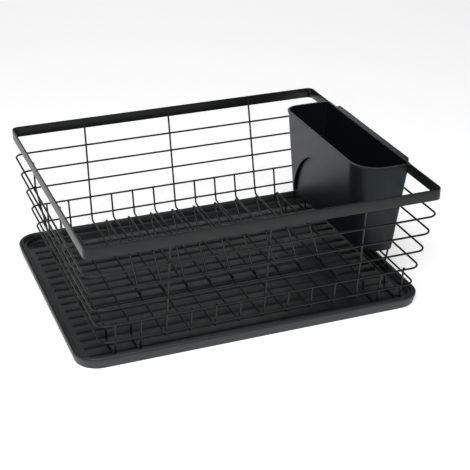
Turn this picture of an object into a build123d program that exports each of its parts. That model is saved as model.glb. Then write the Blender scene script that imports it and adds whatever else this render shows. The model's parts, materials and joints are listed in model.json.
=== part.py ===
"""Dish drying rack: a ribbed drip tray, a welded wire basket and a hook-on cutlery holder.

Axes: +X along the length of the rack, +Y from front to back, +Z up.
The origin is the middle of the tray's flat underside. Lengths are in millimetres.
"""

import os
from math import atan, cos

from build123d import *

os.makedirs("parts", exist_ok=True)

# ---------------------------------------------------------------- drip tray
TRAY_LENGTH = 427.0         # outside, at the lip
TRAY_DEPTH = 341.0
TRAY_HEIGHT = 13.8
TRAY_CORNER = 28.0          # outside corner radius at the lip
TRAY_DRAFT = 3.0            # how far the skirt leans in over its height
TRAY_SHEET = 2.0            # thickness of the skirt and of the basin wall
LIP_WIDTH = 7.0             # from the outside edge to the basin's mouth
LIP_ROUND = 1.8
BASIN_DRAFT = 3.0           # how far the basin wall leans in over its depth
FLOOR_TOP = 3.4
GROOVE_PITCH = 18.1
GROOVE_WIDTH = 4.4
GROOVE_DEPTH = 1.3
GROOVE_MARGIN = 11.0        # plain floor between the basin wall and a groove's end

# ------------------------------------------------------------------- basket
BASKET_OFFSET = 8.0         # the basket stands this far to the right in the tray
WIRE = 2.4                  # diameter of every wire
RIM_LENGTH = 420.0          # outside of the flat rim band
RIM_DEPTH = 370.0
RIM_TOP = 158.1
RIM_HEIGHT = 13.5
RIM_THICK = 1.8
RIM_CORNER = 8.5
HOOP_COUNT = 5
HOOP_PITCH = 23.3           # height between one hoop and the next
HOOP_TOP = 122.1            # centre height of the highest hoop
HOOP_HALF_X = 209.3         # centreline of the highest hoop
HOOP_HALF_Y = 179.8
HOOP_STEP_X = 4.1           # how much smaller each lower hoop is, on each side
HOOP_STEP_Y = 3.9
HOOP_CORNER = 12.0
RIB_PITCH = 29.3            # spacing of the front-to-back wires
RIB_REACH = 6               # ribs run from -6 to +6 pitches
TALL_EVERY = 4              # every fourth rib climbs to the rim band
TALL_LEAN = 2.5             # how far the outer tall ribs lean towards the middle
FLOOR_WIRE_Z = 21.5         # centre height of the basket's floor
BEND = 4.5                  # bend radius of the floor corners
FOOT_INNER_Y = 120.0        # where a rib drops to form a foot
FOOT_GAP = 0.3              # play between the feet and the tray floor
FOOT_BEND = 4.5
RUNNER_Y = 67.5             # lengthwise floor wires, left of the jog
RUNNER_Y_RIGHT = 93.5       # the same wires, right of the jog
RUNNER_JOG_X = 121.5
TIP = 1.5                   # how far a short wire's end stands above the top hoop it meets

# ----------------------------------------------------------- plate dividers
DIVIDER_REACH = 4           # dividers stand on ribs -4 to +4
DIVIDER_TOP = 56.5          # centre height of the raised bar
DIVIDER_BACK_Y = 88.0
DIVIDER_FRONT_Y = -23.0
DIVIDER_FOOT = 6.0          # flat of the wire that is welded along a rib
DIVIDER_BEND = 3.0

# ---------------------------------------------------------- cutlery holder
HOLDER_TOP = 161.5
HOLDER_BOTTOM = 47.5
HOLDER_INNER_X = 141.0      # the face that looks into the basket, at the mouth
HOLDER_OUTER_X = 205.4      # the face along the basket's side, at the mouth
HOLDER_MID_Y = 2.0
HOLDER_HALF_Y = 116.0
HOLDER_DRAFT = 6.0          # lean of the inner face and of both ends
HOLDER_LEAN = 15.0          # lean of the outer face, which follows the basket's side
HOLDER_ROUND = 34.0         # corner radius on the basket side, at the front
HOLDER_BACK_ROUND = 18.0    # the same at the back
HOLDER_SQUARE = 4.0         # corner radius on the rim side
HOLDER_WALL = 1.8
HOLDER_FLOOR = 2.4
HOLDER_BEAD = 1.0           # how far the bead round the mouth stands out
HOLDER_BEAD_HEIGHT = 2.4
HOOK_MID_Y = -1.0
HOOK_HALF_Y = 96.0
HOOK_DROP = 12.0
HOOK_PLAY = 0.4             # gap between the hook and the rim band
ARCH_RADIUS = 103.0         # round-topped recess in the inner face
ARCH_Z = 26.0               # height of its centre, which is below the holder
ARCH_MID_Y = -3.0
ARCH_DEPTH = 3.8
SLOT_LENGTH = 26.0          # drain slots in the holder's floor
SLOT_WIDTH = 4.0


def save(part, name):
    """Label a finished piece and write its STEP file."""
    part.label = name
    export_step(part, f"parts/{name}.step")
    return part


# ------------------------------------------------------------ shared geometry
def hoop_z(index):
    return HOOP_TOP - HOOP_PITCH * index


def wall_x(z):
    """Centreline of a wire lying inside the hoops' short sides."""
    slope = HOOP_STEP_X / HOOP_PITCH
    return HOOP_HALF_X - (HOOP_TOP - z) * slope - WIRE / cos(atan(slope))


def wall_y(z):
    """Centreline of a wire lying inside the hoops' long sides."""
    slope = HOOP_STEP_Y / HOOP_PITCH
    return HOOP_HALF_Y - (HOOP_TOP - z) * slope - WIRE / cos(atan(slope))


RIM_INSIDE_X = RIM_LENGTH / 2 - RIM_THICK - WIRE / 2
RIM_INSIDE_Y = RIM_DEPTH / 2 - RIM_THICK - WIRE / 2
TALL_TOP = RIM_TOP - 3.0
FOOT_Z = FLOOR_TOP + FOOT_GAP + WIRE / 2


def bent_wire(name, points, radii, closed=False):
    """Sweep the round wire section along straight runs joined by tangent bends."""
    with BuildPart() as wire:
        with BuildLine() as route:
            FilletPolyline(*points, radius=radii, close=closed)
        start = route.wire()
        with BuildSketch(Plane(origin=start @ 0, z_dir=start % 0)):
            Circle(WIRE / 2)
        sweep()
    return save(wire.part, name)


# ------------------------------------------------------------------ drip tray
def tray_outline(inset, z):
    """The tray's rounded outline at height z, drawn in by the inset."""
    with BuildSketch(Plane.XY.offset(z)) as plan:
        RectangleRounded(TRAY_LENGTH - 2 * inset, TRAY_DEPTH - 2 * inset, TRAY_CORNER - inset)
    return plan.sketch


def drip_tray():
    """A shallow tray with a hollow rolled lip and a grooved floor."""
    floor_inset = LIP_WIDTH + BASIN_DRAFT
    groove_length = TRAY_LENGTH - 2 * (floor_inset + GROOVE_MARGIN)
    groove_count = int((TRAY_DEPTH - 2 * floor_inset - 2 * GROOVE_WIDTH) // GROOVE_PITCH)

    with BuildPart() as tray:
        # outside of the skirt, wider at the lip than at the base
        loft([tray_outline(TRAY_DRAFT, 0), tray_outline(0, TRAY_HEIGHT)])

        # the basin
        basin = [tray_outline(LIP_WIDTH + BASIN_DRAFT, FLOOR_TOP), tray_outline(LIP_WIDTH, TRAY_HEIGHT)]
        loft(basin, mode=Mode.SUBTRACT)
        fillet(tray.faces().sort_by(Axis.Z)[-1].edges(), LIP_ROUND)

        # the hollow under the lip, open below, leaves a skirt and a basin wall of even thickness
        hollow_top = TRAY_HEIGHT - TRAY_SHEET
        skirt_inset = [TRAY_DRAFT + TRAY_SHEET, TRAY_SHEET]
        wall_inset = [LIP_WIDTH + BASIN_DRAFT - TRAY_SHEET, LIP_WIDTH - TRAY_SHEET]
        within_skirt = [tray_outline(skirt_inset[0], 0), tray_outline(skirt_inset[1], hollow_top)]
        round_basin = [tray_outline(wall_inset[0], 0), tray_outline(wall_inset[1], hollow_top)]
        hollow = loft(within_skirt, mode=Mode.PRIVATE) - loft(round_basin, mode=Mode.PRIVATE)
        add(hollow, mode=Mode.SUBTRACT)

        # the drainage grooves, running lengthwise
        with BuildSketch(Plane.XY.offset(FLOOR_TOP)):
            with GridLocations(0, GROOVE_PITCH, 1, groove_count):
                SlotOverall(groove_length, GROOVE_WIDTH)
        extrude(amount=-GROOVE_DEPTH, mode=Mode.SUBTRACT)
    return save(tray.part, "drip_tray")


# --------------------------------------------------------------------- basket
def rim_band():
    """The flat steel band that closes the top of the basket."""
    with BuildPart() as rim:
        with BuildSketch(Plane.XY.offset(RIM_TOP - RIM_HEIGHT)):
            with Locations((BASKET_OFFSET, 0)):
                RectangleRounded(RIM_LENGTH, RIM_DEPTH, RIM_CORNER)
                RectangleRounded(
                    RIM_LENGTH - 2 * RIM_THICK,
                    RIM_DEPTH - 2 * RIM_THICK,
                    RIM_CORNER - RIM_THICK,
                    mode=Mode.SUBTRACT,
                )
        extrude(amount=RIM_HEIGHT)
        fillet(rim.edges().filter_by(Axis.Z, reverse=True), 0.5)
    return save(rim.part, "rim_band")


def hoop(index):
    """One closed ring of wire round the basket; index 0 is the highest."""
    x = HOOP_HALF_X - HOOP_STEP_X * index
    y = HOOP_HALF_Y - HOOP_STEP_Y * index
    z = hoop_z(index)
    corners = [(x, -y, z), (x, y, z), (-x, y, z), (-x, -y, z)]
    points = [(BASKET_OFFSET + px, py, pz) for px, py, pz in corners]
    return bent_wire(f"hoop_wire_{index + 1}", points, HOOP_CORNER, closed=True)


def rib(step):
    """A U of wire running front to back: down the front, over the floor, up the back.

    Every fourth rib reaches the rim band. The outer two at each end dip to form the feet.
    """
    tall = step % TALL_EVERY == 0
    footed = abs(step) >= RIB_REACH - 1
    if tall:
        kink_z = HOOP_TOP + (RIM_INSIDE_Y - wall_y(HOOP_TOP)) * HOOP_PITCH / HOOP_STEP_Y
        side = [(RIM_INSIDE_Y, TALL_TOP), (RIM_INSIDE_Y, kink_z)]
        radii = [BEND]
    else:
        tip_z = hoop_z(HOOP_COUNT - 2) + TIP
        side = [(wall_y(tip_z), tip_z)]
        radii = []
    if footed:
        side += [
            (wall_y(FOOT_Z), FOOT_Z),
            (FOOT_INNER_Y, FOOT_Z),
            (FOOT_INNER_Y, FLOOR_WIRE_Z),
        ]
        radii += [FOOT_BEND] * 3
    else:
        side += [(wall_y(FLOOR_WIRE_Z), FLOOR_WIRE_Z)]
        radii += [BEND]
    x = BASKET_OFFSET + RIB_PITCH * step
    lean = TALL_LEAN * step / TALL_EVERY if tall else 0
    climb = TALL_TOP - FLOOR_WIRE_Z
    points = [(x - lean * (z - FLOOR_WIRE_Z) / climb, y, z) for y, z in side]
    back = points
    front = [(x_at, -y, z) for x_at, y, z in reversed(points)]
    return bent_wire(f"rib_wire_{step + RIB_REACH + 1:02d}", back + front, radii + radii[::-1])


def runner(name, way):
    """A lengthwise wire under the ribs that climbs both ends to the rim band.

    It jogs outwards near the right end, where the cutlery holder hangs.
    """
    floor_z = FLOOR_WIRE_Z - WIRE
    kink_z = HOOP_TOP + (RIM_INSIDE_X - wall_x(HOOP_TOP)) * HOOP_PITCH / HOOP_STEP_X
    near = way * RUNNER_Y
    far = way * RUNNER_Y_RIGHT
    route = [
        (-RIM_INSIDE_X, near, TALL_TOP),
        (-RIM_INSIDE_X, near, kink_z),
        (-wall_x(floor_z), near, floor_z),
        (RUNNER_JOG_X, near, floor_z),
        (RUNNER_JOG_X, far, floor_z),
        (wall_x(floor_z), far, floor_z),
        (RIM_INSIDE_X, far, kink_z),
        (RIM_INSIDE_X, far, TALL_TOP),
    ]
    points = [(BASKET_OFFSET + x, y, z) for x, y, z in route]
    return bent_wire(name, points, [BEND] * (len(points) - 2))


def divider(step):
    """A plate divider: a raised bar on two leaning legs, with flats welded along a rib."""
    foot_z = FLOOR_WIRE_Z + WIRE
    drop = DIVIDER_TOP - foot_z
    x = BASKET_OFFSET + RIB_PITCH * step
    route = [
        (DIVIDER_BACK_Y - drop - DIVIDER_FOOT, foot_z),
        (DIVIDER_BACK_Y - drop, foot_z),
        (DIVIDER_BACK_Y, DIVIDER_TOP),
        (DIVIDER_FRONT_Y, DIVIDER_TOP),
        (DIVIDER_FRONT_Y - drop, foot_z),
        (DIVIDER_FRONT_Y - drop - DIVIDER_FOOT, foot_z),
    ]
    points = [(x, y, z) for y, z in route]
    return bent_wire(f"divider_wire_{step + DIVIDER_REACH + 1}", points, [DIVIDER_BEND] * 4)


# ------------------------------------------------------------- cutlery holder
def holder_outline(inset, z):
    """Plan of the holder at height z: round on the basket side, square on the rim side."""
    fall = (HOLDER_TOP - z) / (HOLDER_TOP - HOLDER_BOTTOM)
    x_in = BASKET_OFFSET + HOLDER_INNER_X + HOLDER_DRAFT * fall + inset
    x_out = BASKET_OFFSET + HOLDER_OUTER_X - HOLDER_LEAN * fall - inset
    half = HOLDER_HALF_Y - HOLDER_DRAFT * fall - inset
    with BuildSketch(Plane.XY.offset(z)) as plan:
        with Locations(((x_in + x_out) / 2, HOLDER_MID_Y)):
            Rectangle(x_out - x_in, 2 * half)
        fillet(plan.vertices().group_by(Axis.X)[0].sort_by(Axis.Y)[0], HOLDER_ROUND - inset)
        fillet(plan.vertices().group_by(Axis.X)[0].sort_by(Axis.Y)[-1], HOLDER_BACK_ROUND - inset)
        fillet(plan.vertices().group_by(Axis.X)[-1], HOLDER_SQUARE - inset)
    return plan.sketch


def arch(radius, depth):
    """A disc of that depth behind the inner face, round the centre of the arched recess."""
    lean = HOLDER_DRAFT / (HOLDER_TOP - HOLDER_BOTTOM)
    face_x = BASKET_OFFSET + HOLDER_INNER_X + lean * (HOLDER_TOP - ARCH_Z)
    face = Plane(origin=(face_x, ARCH_MID_Y, ARCH_Z), x_dir=(0, 1, 0), z_dir=(-1, 0, -lean))
    with BuildPart() as disc:
        with BuildSketch(face):
            Circle(radius)
        extrude(amount=-depth)
        extrude(disc.faces().sort_by(Axis.X)[0], amount=HOLDER_WALL)
    return disc.part


def holder_inside():
    """The space inside the pot, which stays one wall clear of the arched recess."""
    floor_z = HOLDER_BOTTOM + HOLDER_FLOOR
    with BuildPart() as space:
        loft([holder_outline(HOLDER_WALL, floor_z), holder_outline(HOLDER_WALL, HOLDER_TOP)])
        add(arch(ARCH_RADIUS + HOLDER_WALL, ARCH_DEPTH + HOLDER_WALL), mode=Mode.SUBTRACT)
    return space.part


def cutlery_holder():
    """A tapered pot that hangs inside the basket from a hook over the rim band."""
    slot_rows = 4
    recess = arch(ARCH_RADIUS, ARCH_DEPTH)
    inside = holder_inside()
    bead = holder_outline(-HOLDER_BEAD, HOLDER_TOP)
    with BuildPart() as pot:
        loft([holder_outline(0, HOLDER_BOTTOM), holder_outline(0, HOLDER_TOP)])
        fillet(pot.faces().sort_by(Axis.Z)[0].edges(), 3.0)
        add(recess, mode=Mode.SUBTRACT)

        # a bead round the mouth
        extrude(bead, amount=-HOLDER_BEAD_HEIGHT)

        # the hook: a shelf over the band and a lip down its outside
        band_outside = BASKET_OFFSET + RIM_LENGTH / 2
        shelf_in = BASKET_OFFSET + HOLDER_OUTER_X - HOLDER_WALL
        shelf_out = band_outside + HOOK_PLAY + HOLDER_WALL
        with BuildSketch(Plane.XY.offset(HOLDER_TOP)):
            with Locations(((shelf_in + shelf_out) / 2, HOOK_MID_Y)):
                Rectangle(shelf_out - shelf_in, 2 * HOOK_HALF_Y)
        extrude(amount=-(HOLDER_TOP - RIM_TOP - HOOK_PLAY))
        with BuildSketch(Plane.XY.offset(HOLDER_TOP)):
            with Locations((shelf_out - HOLDER_WALL / 2, HOOK_MID_Y)):
                Rectangle(HOLDER_WALL, 2 * HOOK_HALF_Y)
        extrude(amount=-HOOK_DROP - (HOLDER_TOP - RIM_TOP))

        add(inside, mode=Mode.SUBTRACT)

        # drain slots
        middle_x = BASKET_OFFSET + (HOLDER_INNER_X + HOLDER_OUTER_X + HOLDER_DRAFT - HOLDER_LEAN) / 2
        with BuildSketch(Plane.XY.offset(HOLDER_BOTTOM)):
            with Locations((middle_x, HOLDER_MID_Y)):
                with GridLocations(0, 42.0, 1, slot_rows):
                    SlotOverall(SLOT_LENGTH, SLOT_WIDTH)
        extrude(amount=HOLDER_FLOOR, mode=Mode.SUBTRACT)
    return save(pot.part, "cutlery_holder")


# ------------------------------------------------------------------- assembly
drip_tray()
rim_band()
for hoop_index in range(HOOP_COUNT):
    hoop(hoop_index)
for rib_step in range(-RIB_REACH, RIB_REACH + 1):
    rib(rib_step)
runner("runner_wire_front", -1)
runner("runner_wire_back", 1)
for divider_step in range(-DIVIDER_REACH, DIVIDER_REACH + 1):
    divider(divider_step)
cutlery_holder()
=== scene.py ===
# %% [markdown]
# # A dish drying rack
# The rack has three parts that come apart by hand: a moulded drip tray, a welded wire basket that
# stands in the tray, and a cutlery holder that hooks over the basket's rim. The frame already gives
# every wire its place. What follows adds the finish, the soft moulded edges and the small things that
# come from making the rack: weld beads, rounded wire tips, grain in the plastic.

# %% Load the frame
import json
from math import cos, radians, sin, sqrt

import bpy
from mathutils import Matrix, Vector
from mathutils.bvhtree import BVHTree

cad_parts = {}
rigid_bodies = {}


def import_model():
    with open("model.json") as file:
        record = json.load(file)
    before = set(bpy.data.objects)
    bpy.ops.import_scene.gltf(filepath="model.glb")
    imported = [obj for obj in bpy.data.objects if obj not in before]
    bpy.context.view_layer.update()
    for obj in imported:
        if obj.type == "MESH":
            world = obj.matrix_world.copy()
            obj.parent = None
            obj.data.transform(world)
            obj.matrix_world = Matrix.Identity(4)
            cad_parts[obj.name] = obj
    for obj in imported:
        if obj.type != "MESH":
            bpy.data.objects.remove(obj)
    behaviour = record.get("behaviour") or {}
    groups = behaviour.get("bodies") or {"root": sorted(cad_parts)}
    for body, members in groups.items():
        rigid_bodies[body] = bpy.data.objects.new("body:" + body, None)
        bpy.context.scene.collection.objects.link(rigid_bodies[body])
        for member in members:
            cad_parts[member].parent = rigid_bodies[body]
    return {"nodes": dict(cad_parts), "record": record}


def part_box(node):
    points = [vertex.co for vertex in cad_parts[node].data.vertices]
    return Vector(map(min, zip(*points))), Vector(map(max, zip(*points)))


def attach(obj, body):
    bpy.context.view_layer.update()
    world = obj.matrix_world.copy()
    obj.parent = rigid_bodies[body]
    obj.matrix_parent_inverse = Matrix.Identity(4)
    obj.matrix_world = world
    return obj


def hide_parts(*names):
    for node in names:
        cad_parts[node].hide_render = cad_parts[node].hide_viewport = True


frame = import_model()
bpy.context.view_layer.update()
MM = 0.001
CLOSE = 0.1 * MM

# %% [markdown]
# ## Camera
# A catalogue view: from the front, a little to the left, looking down on the basket with a long lens
# so that the long sides stay nearly parallel. The camera is placed by its own direction vectors,
# because a tiny roll is part of the view.

# %% Camera
AZIMUTH, ELEVATION, ROLL = radians(-20.605), radians(26.295), radians(-0.322)
EYE = Vector((-451.8, -1292.4, 729.6)) * MM
LENS = 94.0

look = Vector((-sin(AZIMUTH) * cos(ELEVATION), cos(AZIMUTH) * cos(ELEVATION), -sin(ELEVATION)))
level = Vector((cos(AZIMUTH), sin(AZIMUTH), 0))
upward = level.cross(look)
across = level * cos(ROLL) + upward * sin(ROLL)
upright = upward * cos(ROLL) - level * sin(ROLL)

bpy.ops.object.camera_add()
camera = bpy.context.object
camera.name = "catalogue_camera"
camera.matrix_world = Matrix.Translation(EYE) @ Matrix((across, upright, -look)).transposed().to_4x4()
camera.data.lens = LENS
camera.data.sensor_width = 36.0
camera.data.clip_end = 20
bpy.context.scene.camera = camera
print("camera at", tuple(round(v, 3) for v in EYE))

# %% [markdown]
# ## Studio
# Black satin things are lit by what they reflect, so the table is designed before the lamps. It
# glows white and shows in every upright face. The room round it is dim and its ceiling darker
# still, which leaves the inside of the holder black. Four softboxes give the wires their thin
# light lines.

# %% Floor
FLOOR_SIZE = 12.0
FLOOR_DROP = 0.0004
FLOOR_GLOW = 0.62


def studio_white(glow):
    """A white table top that glows a little, so that shadows on it stay faint."""
    material = bpy.data.materials.new("studio_white")
    material.use_nodes = True
    shader = material.node_tree.nodes["Principled BSDF"]
    shader.inputs["Base Color"].default_value = (0.9, 0.9, 0.9, 1)
    shader.inputs["Roughness"].default_value = 0.9
    shader.inputs["Specular IOR Level"].default_value = 0.0
    shader.inputs["Emission Color"].default_value = (1, 1, 1, 1)
    shader.inputs["Emission Strength"].default_value = glow
    return material


bpy.ops.mesh.primitive_plane_add(size=FLOOR_SIZE, location=(0, 0, -FLOOR_DROP))
floor = bpy.context.object
floor.name = "studio_floor"
floor.data.materials.append(studio_white(FLOOR_GLOW))
print("floor", floor.dimensions)

# %% Lights
MIDDLE = Vector((0, 0, 0.06))


def softbox(name, place, size, power):
    """A rectangular light that faces the rack."""
    bpy.ops.object.light_add(type="AREA", location=place)
    light = bpy.context.object
    light.name = name
    light.rotation_euler = (MIDDLE - Vector(place)).to_track_quat("-Z", "Y").to_euler()
    light.data.shape = "RECTANGLE"
    light.data.size, light.data.size_y = size
    light.data.energy = power
    light.visible_camera = False
    return light


softbox("softbox_top", place=(-0.5, -0.9, 1.9), size=(1.3, 0.7), power=28)
softbox("softbox_back", place=(0.6, 2.3, 1.2), size=(1.6, 0.5), power=5)
softbox("softbox_left", place=(-2.0, 0.4, 0.9), size=(1.2, 1.0), power=1.2)
softbox("softbox_front", place=(-0.6, -2.2, 1.1), size=(1.4, 0.7), power=6)

# %% Room
WALL_GREY, CEILING_GREY = 0.0117, 0.003
WALL_END, CEILING_START = 0.35, 0.9
world = bpy.data.worlds.new("dim_room")
bpy.context.scene.world = world
world.use_nodes = True
room = world.node_tree
direction = room.nodes.new("ShaderNodeTexCoord")
parts = room.nodes.new("ShaderNodeSeparateXYZ")
grey = room.nodes.new("ShaderNodeMapRange")
grey.interpolation_type = "SMOOTHSTEP"
grey.inputs["From Min"].default_value = WALL_END
grey.inputs["From Max"].default_value = CEILING_START
grey.inputs["To Min"].default_value = WALL_GREY
grey.inputs["To Max"].default_value = CEILING_GREY
seen = room.nodes.new("ShaderNodeLightPath")
backdrop = room.nodes.new("ShaderNodeMix")
backdrop.inputs["B"].default_value = 1.0
background = room.nodes["Background"]
background.inputs["Color"].default_value = (1, 1, 1, 1)
for source, target in (
    (direction.outputs["Generated"], parts.inputs[0]),
    (parts.outputs["Z"], grey.inputs["Value"]),
    (seen.outputs["Is Camera Ray"], backdrop.inputs["Factor"]),
    (grey.outputs["Result"], backdrop.inputs["A"]),
    (backdrop.outputs["Result"], background.inputs["Strength"]),
):
    room.links.new(source, target)
bpy.context.scene.view_settings.view_transform = "Standard"
print("room from", WALL_GREY, "to", CEILING_GREY)

# %% [markdown]
# ## Writing a finish
# A finish is a small network of nodes. Wired by hand it soon becomes unreadable, so two helpers
# keep it short. The first, `Value`, wraps a socket so that ordinary arithmetic adds Math nodes.


# %% Arithmetic on sockets
class Value:
    """A shader socket that can be added, subtracted and multiplied."""

    def __init__(self, finish, socket):
        self.finish = finish
        self.socket = socket

    def maths(self, operation, first, second):
        """Adds one Math node."""
        settings = {"operation": operation}
        return self.finish.node("ShaderNodeMath", settings, {0: first, 1: second})

    def __add__(self, other):
        return self.maths("ADD", self, other)

    __radd__ = __add__

    def __sub__(self, other):
        return self.maths("SUBTRACT", self, other)

    def __rsub__(self, other):
        return self.maths("SUBTRACT", other, self)

    def __mul__(self, other):
        return self.maths("MULTIPLY", self, other)

    __rmul__ = __mul__


print("arithmetic ready:", [name for name in vars(Value) if name.startswith("__r")])

# %% [markdown]
# The second, `Finish`, holds one material. Any other node comes from one method that takes the
# node's type, its settings and what goes into its sockets.


# %% Nodes of a finish
# a Mix node has sockets of one name for each kind of data, so its colour sockets go by number
MIX_FACTOR, MIX_FIRST, MIX_SECOND, MIX_COLOUR = 0, 6, 7, 2


class Finish:
    """One material while it is being made."""

    def __init__(self, name):
        self.material = bpy.data.materials.new(name)
        self.material.use_nodes = True
        self.nodes = self.material.node_tree.nodes
        self.nodes.clear()

    def node(self, kind, settings=None, sockets=None, out=0):
        """Adds a node, sets it up and fills its sockets. Gives one of its outputs."""
        new = self.nodes.new(kind)
        for key, setting in (settings or {}).items():
            if key == "stops":
                self.set_stops(new.color_ramp, setting)
            else:
                setattr(new, key, setting)
        for key, filling in (sockets or {}).items():
            if isinstance(filling, Value):
                self.material.node_tree.links.new(filling.socket, new.inputs[key])
            else:
                new.inputs[key].default_value = filling
        return Value(self, new.outputs[out]) if len(new.outputs) else new

    def set_stops(self, ramp, stops):
        """Gives a colour ramp its (place, grey) stops; a new ramp has two."""
        while len(ramp.elements) < len(stops):
            ramp.elements.new(0.5)
        for element, (place, grey) in zip(ramp.elements, stops):
            element.position = place
            element.color = (grey, grey, grey, 1)

    def place(self):
        """The point on the object, in metres."""
        return self.node("ShaderNodeTexCoord", out="Object")

    def noise(self, scale, detail=2.0, roughness=0.5):
        """Cloudy noise between 0 and 1. The scale is in features per metre."""
        sockets = {
            "Vector": self.place(), "Scale": scale, "Detail": detail, "Roughness": roughness,
        }
        return self.node("ShaderNodeTexNoise", None, sockets)

    def ramp(self, value, *stops):
        """A value bent through (place, grey) stops."""
        return self.node("ShaderNodeValToRGB", {"stops": stops}, {"Fac": value})

    def blend(self, mask, low, high):
        """A colour between two colours."""
        sockets = {MIX_FACTOR: mask, MIX_FIRST: (*low, 1), MIX_SECOND: (*high, 1)}
        return self.node("ShaderNodeMix", {"data_type": "RGBA"}, sockets, out=MIX_COLOUR)

    def bump(self, height, distance, strength=1.0, under=None):
        """A bump of that depth in metres, over another one if given."""
        sockets = {"Height": height, "Distance": distance, "Strength": strength}
        if under:
            sockets["Normal"] = under
        return self.node("ShaderNodeBump", None, sockets)

    def surface(self, **sockets):
        """Ends the network in a Principled shader. Words are joined by underscores."""
        filled = {key.replace("_", " "): filling for key, filling in sockets.items()}
        shader = self.node("ShaderNodeBsdfPrincipled", None, filled)
        self.node("ShaderNodeOutputMaterial", None, {"Surface": shader})
        return self.material


print("finish helpers ready")

# %% [markdown]
# ## Black powder coat
# Powder is sprayed on dry and melts into a thick skin. It levels into a faint orange peel, stays a
# little matt, and pulls thin on sharp edges. One finish serves the wires and the rim.

# %% Powder coat
COAT_DARK, COAT_LIGHT = (0.0055, 0.0058, 0.006), (0.0085, 0.009, 0.0095)
PEEL_DEPTH, SPECK_DEPTH = 0.06 * MM, 0.01 * MM
COOL_WHITE = (0.94, 0.99, 1.0, 1)


def powder_coat():
    coat = Finish("black_powder_coat")
    cloud = coat.noise(45.0, 2.0)
    peel = coat.noise(1100.0, 2.0)
    speck = coat.noise(5200.0, 1.0)
    roughness = 0.29 + 0.08 * cloud + 0.06 * speck
    relief = coat.bump(peel, PEEL_DEPTH, 0.5)
    relief = coat.bump(speck, SPECK_DEPTH, 0.35, relief)
    return coat.surface(
        Base_Color=coat.blend(cloud, COAT_DARK, COAT_LIGHT), Roughness=roughness,
        Normal=relief, IOR=1.43, Specular_Tint=COOL_WHITE,
    )


black_coat = powder_coat()
print(black_coat.name, len(black_coat.node_tree.nodes), "nodes")

# %% [markdown]
# ## Tray plastic
# The tray is injection moulded in charcoal plastic from a polished mould with a fine spark grain on
# its faces. It is glossier than the wires, and water dries on its floor in faint marks.

# %% Tray plastic
CHARCOAL_DARK, CHARCOAL_LIGHT = (0.018, 0.0195, 0.0205), (0.026, 0.028, 0.0295)
SPARK_DEPTH, SINK_DEPTH = 0.02 * MM, 0.4 * MM


def tray_plastic():
    charcoal = Finish("charcoal_tray_plastic")
    cloud = charcoal.noise(16.0, 3.0)
    grain = charcoal.noise(2600.0, 2.0)
    marks = charcoal.ramp(charcoal.noise(60.0, 4.0, 0.6), (0.52, 0.0), (0.72, 1.0))
    roughness = 0.40 + 0.08 * cloud + 0.07 * marks + 0.05 * grain
    relief = charcoal.bump(grain, SPARK_DEPTH, 0.5)
    relief = charcoal.bump(cloud, SINK_DEPTH, 0.15, relief)
    return charcoal.surface(
        Base_Color=charcoal.blend(cloud, CHARCOAL_DARK, CHARCOAL_LIGHT), Roughness=roughness,
        Normal=relief, IOR=1.5, Specular_Tint=COOL_WHITE,
    )


charcoal_plastic = tray_plastic()
print(charcoal_plastic.name, len(charcoal_plastic.node_tree.nodes), "nodes")

# %% [markdown]
# ## Holder plastic
# The holder is a slate grey plastic with an even matt grain, so it hides fingerprints.

# %% Holder plastic
SLATE_DARK, SLATE_LIGHT = (0.0052, 0.0080, 0.0092), (0.0066, 0.0098, 0.0112)
GRAIN_DEPTH = 0.04 * MM
SLATE_WHITE = (0.78, 0.92, 1.0, 1)


def holder_plastic():
    slate = Finish("slate_holder_plastic")
    cloud = slate.noise(20.0, 3.0)
    grain = slate.noise(3200.0, 3.0, 0.6)
    roughness = 0.27 + 0.05 * cloud + 0.06 * grain
    relief = slate.bump(grain, GRAIN_DEPTH, 0.6)
    return slate.surface(
        Base_Color=slate.blend(cloud, SLATE_DARK, SLATE_LIGHT), Roughness=roughness,
        Normal=relief, IOR=1.38, Specular_Tint=SLATE_WHITE,
    )


slate_plastic = holder_plastic()
print(slate_plastic.name, len(slate_plastic.node_tree.nodes), "nodes")

# %% [markdown]
# ## Finishes on the frame
# The wires and the holder keep their solids, because their shapes are already right. Each gets
# its finish in its material slots.

# %% Finishes on the frame
FINISHES = {
    "coated_steel": black_coat,
    "tray_plastic": charcoal_plastic,
    "holder_plastic": slate_plastic,
}
slot_of = {row["node"]: row["material_slot"] for row in frame["record"]["subparts"]}
for node_name, node in frame["nodes"].items():
    finish = FINISHES[slot_of[node_name]]
    if not node.material_slots:
        node.data.materials.append(finish)
    for material_slot in node.material_slots:
        material_slot.material = finish
print("finishes on", len(slot_of), "nodes")

# %% [markdown]
# ## Modelling helpers
# Most pieces start from a primitive and are shaped in edit mode. Operators act on all that is
# selected, so every step first selects only its own pieces.

# %% Selecting pieces


def select_only(*pieces):
    """Only these pieces are selected, the first is active, and object mode is on."""
    if bpy.context.mode != "OBJECT":
        bpy.ops.object.mode_set(mode="OBJECT")
    bpy.ops.object.select_all(action="DESELECT")
    for piece in pieces:
        piece.select_set(True)
    if pieces:
        bpy.context.view_layer.objects.active = pieces[0]


select_only()
print("selected:", len(bpy.context.selected_objects))

# %% [markdown]
# Inside a piece, faces and edges are picked by where they are, with a test on their corners or their
# middle. That keeps working when an earlier step changes how many there are.

# %% Selecting by place


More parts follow.
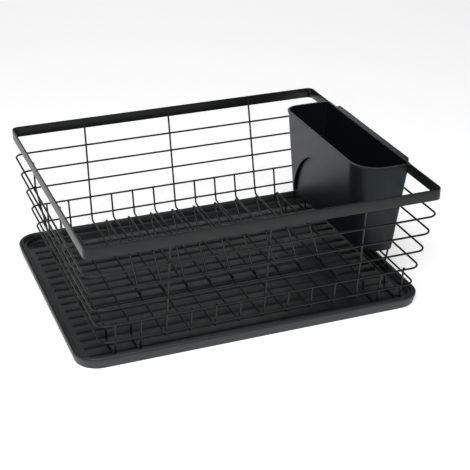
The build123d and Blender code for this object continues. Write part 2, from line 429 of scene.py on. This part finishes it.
def choose(piece, kind, test):
    """Selects the faces or edges that pass the test, and turns edit mode on.

    A face is tested by its middle and normal, an edge by its two ends.
    """
    select_only(piece)
    mesh = piece.data
    for group in (mesh.vertices, mesh.edges, mesh.polygons):
        group.foreach_set("select", [False] * len(group))
    chosen = 0
    for element in mesh.polygons if kind == "FACE" else mesh.edges:
        if kind == "FACE":
            picked = test(element.center, element.normal)
        else:
            first, second = (mesh.vertices[index].co for index in element.vertices)
            picked = test(first, second)
        element.select = bool(picked)
        chosen += bool(picked)
    bpy.context.tool_settings.mesh_select_mode = (False, kind == "EDGE", kind == "FACE")
    bpy.ops.object.mode_set(mode="EDIT")
    return chosen


print("selecting by place ready")

# %% [markdown]
# A finished piece has its place in its mesh, a smooth surface, a finish and a body that it moves
# with. One helper does all of that for every piece.

# %% Settling a piece


def settle(piece, name, finish, body, angle=35):
    """Leaves edit mode, puts the piece's place in its mesh, smooths it and gives it its finish."""
    select_only(piece)
    bpy.ops.object.transform_apply(location=True, rotation=True, scale=True)
    bpy.ops.object.shade_smooth_by_angle(angle=radians(angle))
    piece.name = name
    piece.data.materials.clear()
    piece.data.materials.append(finish)
    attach(piece, body)
    print(name, len(piece.data.polygons), "faces")
    return piece


def apply_modifier(piece, kind, **settings):
    """Adds a modifier and applies it at once."""
    select_only(piece)
    modifier = piece.modifiers.new(kind.lower(), kind)
    for key, setting in settings.items():
        setattr(modifier, key, setting)
    bpy.ops.object.modifier_apply(modifier=modifier.name)


print("settling ready")

# %% [markdown]
# The tray, its channels and the rim band all start from the same thing: a box with rounded upright
# edges. Bevelling those four edges of a cube makes it.

# %% Rounded block


def rounded_block(low, high, radius, segments):
    """A box whose upright edges are rounded, left in edit mode."""
    low, high = Vector(low), Vector(high)
    select_only()
    bpy.ops.mesh.primitive_cube_add(size=1, location=(low + high) / 2, scale=high - low)
    block = bpy.context.object
    bpy.ops.object.transform_apply(location=True, rotation=True, scale=True)
    choose(block, "EDGE", lambda first, second: (first.xy - second.xy).length < CLOSE / 10)
    bpy.ops.mesh.bevel(offset=radius, segments=segments)
    return block


print("rounded block ready")

# %% [markdown]
# ## The drip tray
# The real tray is one moulding. Its lip rolls over softly, the basin wall meets the floor in a
# fillet, and seventeen shallow channels lead water along it. It could be sculpted from a grid, but a
# block that is inset, pushed down and bevelled keeps every wall even. The channels are cut with one
# joined cutter, because a boolean handles seventeen as easily as one.

# %% Tray body
tray_low, tray_high = (Vector(corner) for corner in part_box("drip_tray"))
TRAY_CORNER = 28 * MM
LIP, SKIRT, HOLLOW_WIDTH = 7 * MM, 2 * MM, 5 * MM
SKIRT_DRAFT, BASIN_DRAFT = 3 * MM, 3 * MM
TRAY_FLOOR = 3.4 * MM
HOLLOW_TOP = 9.8 * MM
half_x, half_y, top_z = tray_high

tray = rounded_block(tray_low, tray_high, TRAY_CORNER, segments=16)


def facing(direction, height):
    """A test for faces at that height that look up (1) or down (-1)."""
    return lambda centre, normal: normal.z * direction > 0.9 and abs(centre.z - height) < CLOSE


choose(tray, "FACE", facing(-1, 0))
bpy.ops.transform.resize(value=(1 - SKIRT_DRAFT / half_x, 1 - SKIRT_DRAFT / half_y, 1))
choose(tray, "FACE", facing(1, top_z))
bpy.ops.mesh.inset(thickness=LIP)
bpy.ops.mesh.inset(thickness=BASIN_DRAFT, depth=TRAY_FLOOR - top_z)
choose(tray, "FACE", facing(-1, 0))
bpy.ops.mesh.inset(thickness=SKIRT)
bpy.ops.mesh.inset(thickness=HOLLOW_WIDTH)
print("tray body:", len(tray.data.polygons), "faces")

# %% [markdown]
# Underneath, the lip is hollow behind a skirt, as on any moulding that has to cool evenly. The ring
# of faces there is picked by how far each is in from the rounded outline, then pushed up.

# %% Hollow behind the skirt


def inset_of(point):
    """How far a point is in from the lip's rounded outline."""
    corner_x = max(0.0, abs(point.x) - (half_x - TRAY_CORNER))
    corner_y = max(0.0, abs(point.y) - (half_y - TRAY_CORNER))
    if corner_x and corner_y:
        return TRAY_CORNER - sqrt(corner_x ** 2 + corner_y ** 2)
    return min(half_x - abs(point.x), half_y - abs(point.y))


hollow_low, hollow_high = SKIRT_DRAFT + SKIRT, SKIRT_DRAFT + SKIRT + HOLLOW_WIDTH
ring = choose(
    tray, "FACE",
    lambda centre, normal: facing(-1, 0)(centre, normal)
    and hollow_low < inset_of(centre) < hollow_high,
)
bpy.ops.mesh.extrude_region_move(TRANSFORM_OT_translate={"value": (0, 0, HOLLOW_TOP)})
print(ring, "faces round the hollow")

# %% Tray edges
LIP_ROUND, BASIN_ROUND, FLOOR_FILLET = 4.6 * MM, 1.8 * MM, 2.8 * MM


def level_edge(height, inset_low, inset_high):
    """A test for level edges at that height, that far in from the outside."""

    def test(first, second):
        if max(abs(first.z - height), abs(second.z - height)) > CLOSE:
            return False
        return all(inset_low < inset_of(point) < inset_high for point in (first, second))

    return test


choose(tray, "EDGE", level_edge(top_z, -1 * MM, 1 * MM))
bpy.ops.mesh.bevel(offset=LIP_ROUND, segments=7)
choose(tray, "EDGE", level_edge(top_z, LIP - 1 * MM, LIP + 1 * MM))
bpy.ops.mesh.bevel(offset=BASIN_ROUND, segments=4)
floor_inset = LIP + BASIN_DRAFT
choose(tray, "EDGE", level_edge(TRAY_FLOOR, floor_inset - 1 * MM, floor_inset + 1.5 * MM))
bpy.ops.mesh.bevel(offset=FLOOR_FILLET, segments=5)
print("lip rolled, floor filleted:", len(tray.data.polygons), "faces")

# %% Tray channels
CHANNELS, CHANNEL_PITCH = 17, 18.1 * MM
CHANNEL_WIDTH, CHANNEL_DEPTH = 4.8 * MM, 1.4 * MM
CHANNEL_END = half_x - 17.5 * MM
CUTTER_ABOVE = 1 * MM
END_ROUND = CHANNEL_WIDTH / 2.02
cutters = []
for channel in range(CHANNELS):
    y = (channel - (CHANNELS - 1) / 2) * CHANNEL_PITCH
    low = (-CHANNEL_END, y - CHANNEL_WIDTH / 2, TRAY_FLOOR - CHANNEL_DEPTH)
    high = (CHANNEL_END, y + CHANNEL_WIDTH / 2, TRAY_FLOOR + CUTTER_ABOVE)
    cutters.append(rounded_block(low, high, END_ROUND, segments=5))
select_only(*cutters)
bpy.ops.object.join()
channel_cutter = bpy.context.object
apply_modifier(tray, "BOOLEAN", operation="DIFFERENCE", object=channel_cutter, solver="EXACT")
bpy.data.objects.remove(channel_cutter)
print(CHANNELS, "channels cut")

# %% [markdown]
# A boolean leaves knife edges, and no mould does. The channels' rims lie level with the floor, and
# run straight or round a short end, which tells them from the long edges that only join them up.

# %% Channel rims
RIM_ROUND = 0.6 * MM


def channel_rim(first, second):
    """A test for edges round a channel's mouth."""
    if max(abs(first.z - TRAY_FLOOR), abs(second.z - TRAY_FLOOR)) > CLOSE / 10:
        return False
    if max(abs(first.x), abs(second.x)) > CHANNEL_END + CLOSE / 10:
        return False
    short = abs(abs(first.x) - abs(second.x)) < 4 * MM
    return short or abs(first.y - second.y) < CLOSE / 100


rims = choose(tray, "EDGE", channel_rim)
bpy.ops.mesh.bevel(offset=RIM_ROUND, segments=2)
settle(tray, "moulded_tray", charcoal_plastic, "drip_tray", 40)
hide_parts("drip_tray")
print(rims, "channel edges softened")

# %% [markdown]
# ## The rim band
# The rim is a flat steel strip bent round and welded into a ring. Powder coat rounds its edges, and
# a rounded edge is what catches the thin light line along the top. A rounded block with its middle
# cut out, then bevelled, gives that edge all the way round.

# %% Rim band
BAND_CORNER, BAND_THICK, BAND_EDGE = 8.5 * MM, 1.8 * MM, 0.55 * MM
band_low, band_high = (Vector(corner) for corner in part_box("rim_band"))
band = rounded_block(band_low, band_high, BAND_CORNER, segments=12)
choose(band, "FACE", lambda centre, normal: abs(normal.z) > 0.9)
bpy.ops.mesh.inset(thickness=BAND_THICK)
bpy.ops.mesh.bridge_edge_loops()
choose(band, "EDGE", lambda first, second: abs(first.z - second.z) < CLOSE / 100)
bpy.ops.mesh.bevel(offset=BAND_EDGE, segments=3)
bpy.ops.mesh.select_all(action="SELECT")
bpy.ops.mesh.normals_make_consistent(inside=False)
settle(band, "coated_rim_band", black_coat, "basket", 40)
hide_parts("rim_band")
print("band", tuple(round(size / MM, 1) for size in band_high - band_low), "mm")

# %% [markdown]
# ## Weld beads
# Wherever two wires cross they are spot welded, and the melt leaves a small bead in the corner
# between them. Placing over a hundred beads by eye would take a day. Instead a point near each
# crossing is pulled to the nearest spot on one wire, then on the other, a few times over. It ends up
# where the two wires meet, however they lean, and where they stay apart there is no bead.

# %% Finding the crossings
WIRE = 2.4 * MM
TOUCHING = 0.5 * MM
PULLS = 12


def surface_of(node_name):
    """A search tree over the node's faces."""
    mesh = frame["nodes"][node_name].data
    points = [vertex.co for vertex in mesh.vertices]
    return BVHTree.FromPolygons(points, [polygon.vertices for polygon in mesh.polygons])


def meeting_point(first, second, guess):
    """Where two wires meet near the guess, or None where they stay apart."""
    point = Vector(guess)
    for _ in range(PULLS):
        on_first = surfaces[first].find_nearest(point)[0]
        on_second = surfaces[second].find_nearest(on_first)[0]
        point = (on_first + on_second) / 2
    return point if (on_first - on_second).length < TOUCHING else None


hoops = [f"hoop_wire_{number}" for number in range(1, 6)]
ribs = [f"rib_wire_{number:02d}" for number in range(1, 14)]
runners = ["runner_wire_front", "runner_wire_back"]
dividers = [f"divider_wire_{number}" for number in range(1, 10)]
surfaces = {name: surface_of(name) for name in hoops + ribs + runners + dividers}
boxes = {name: [Vector(corner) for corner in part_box(name)] for name in surfaces}
print(len(surfaces), "wires to search")

# %% [markdown]
# A guess only has to be near. Hoops meet the ribs on their long sides and the runners at their ends,
# at the hoop's own height, and the floor's crossings lie at the runner's lowest level.

# %% Guesses near each crossing


def middle_of(name):
    """The middle of a wire's box."""
    return (boxes[name][0] + boxes[name][1]) / 2


guesses = []
for hoop in hoops:
    low, high = boxes[hoop]
    height = middle_of(hoop).z
    for rib in ribs:
        rib_x = middle_of(rib).x
        guesses += [(hoop, rib, (rib_x, wall_y, height)) for wall_y in (low.y, high.y)]
    for runner in runners:
        runner_y = middle_of(runner).y
        guesses += [(hoop, runner, (end_x, runner_y, height)) for end_x in (low.x, high.x)]
for runner in runners:
    low, high = boxes[runner]
    for rib in ribs:
        rib_x = middle_of(rib).x
        guesses += [(rib, runner, (rib_x, floor_y, low.z)) for floor_y in (low.y, high.y)]
    for divider in dividers:
        foot, top = boxes[divider]
        foot_x = middle_of(divider).x
        guesses += [(divider, runner, (foot_x, foot_y, foot.z)) for foot_y in (foot.y, top.y)]
print(len(guesses), "guesses")

# %% Crossings
found = [meeting_point(first, second, guess) for first, second, guess in guesses]
crossings = []
for point in found:
    if point and all((point - other).length > WIRE for other in crossings):
        crossings.append(point)
print(len(crossings), "crossings")

# %% [markdown]
# One bead is shaped once: a ball of few faces, squashed, so that many copies stay light. The cut
# ends of the short ribs get the same ball as a rounded tip, because the coat draws back from a cut
# edge and leaves a dome.

# %% One bead
BEAD_SWELL = 1.16
select_only()
bpy.ops.mesh.primitive_uv_sphere_add(segments=10, ring_count=6, radius=WIRE / 2)
ball = bpy.context.object
bpy.ops.object.mode_set(mode="EDIT")
bpy.ops.mesh.select_all(action="SELECT")
bpy.ops.transform.resize(value=(BEAD_SWELL, BEAD_SWELL, 1.0))
bpy.ops.object.mode_set(mode="OBJECT")
print("bead of", len(ball.data.polygons), "faces")

# %% Copying it


def copies_of(pattern, places, size):
    """One joined object of copies of the pattern, each with its own mesh."""
    made = []
    for place in places:
        copy = pattern.copy()
        copy.data = pattern.data.copy()
        copy.location = place
        copy.scale = size
        bpy.context.collection.objects.link(copy)
        made.append(copy)
    select_only(*made)
    bpy.ops.object.transform_apply(location=True, rotation=True, scale=True)
    bpy.ops.object.join()
    return bpy.context.object


welds = copies_of(ball, crossings, (1, 1, 1))
settle(welds, "weld_beads", black_coat, "basket", 60)

# %% Wire tips
TIP_SIZE = (0.86, 0.86, 0.7)
CUT_DEPTH = 0.6 * MM
tips = []
for rib in ribs:
    points = [vertex.co for vertex in frame["nodes"][rib].data.vertices]
    top = boxes[rib][1].z
    if top > band_low.z:
        continue
    for way in (-1, 1):
        cut = [point for point in points if point.z > top - CUT_DEPTH and point.y * way > 0]
        tips.append(sum(cut, Vector()) / len(cut))
domes = copies_of(ball, tips, TIP_SIZE)
settle(domes, "rounded_wire_tips", black_coat, "basket", 60)
bpy.data.objects.remove(ball)
print(len(tips), "wire tips")

# %% [markdown]
# The looks have to stay inside the solids.
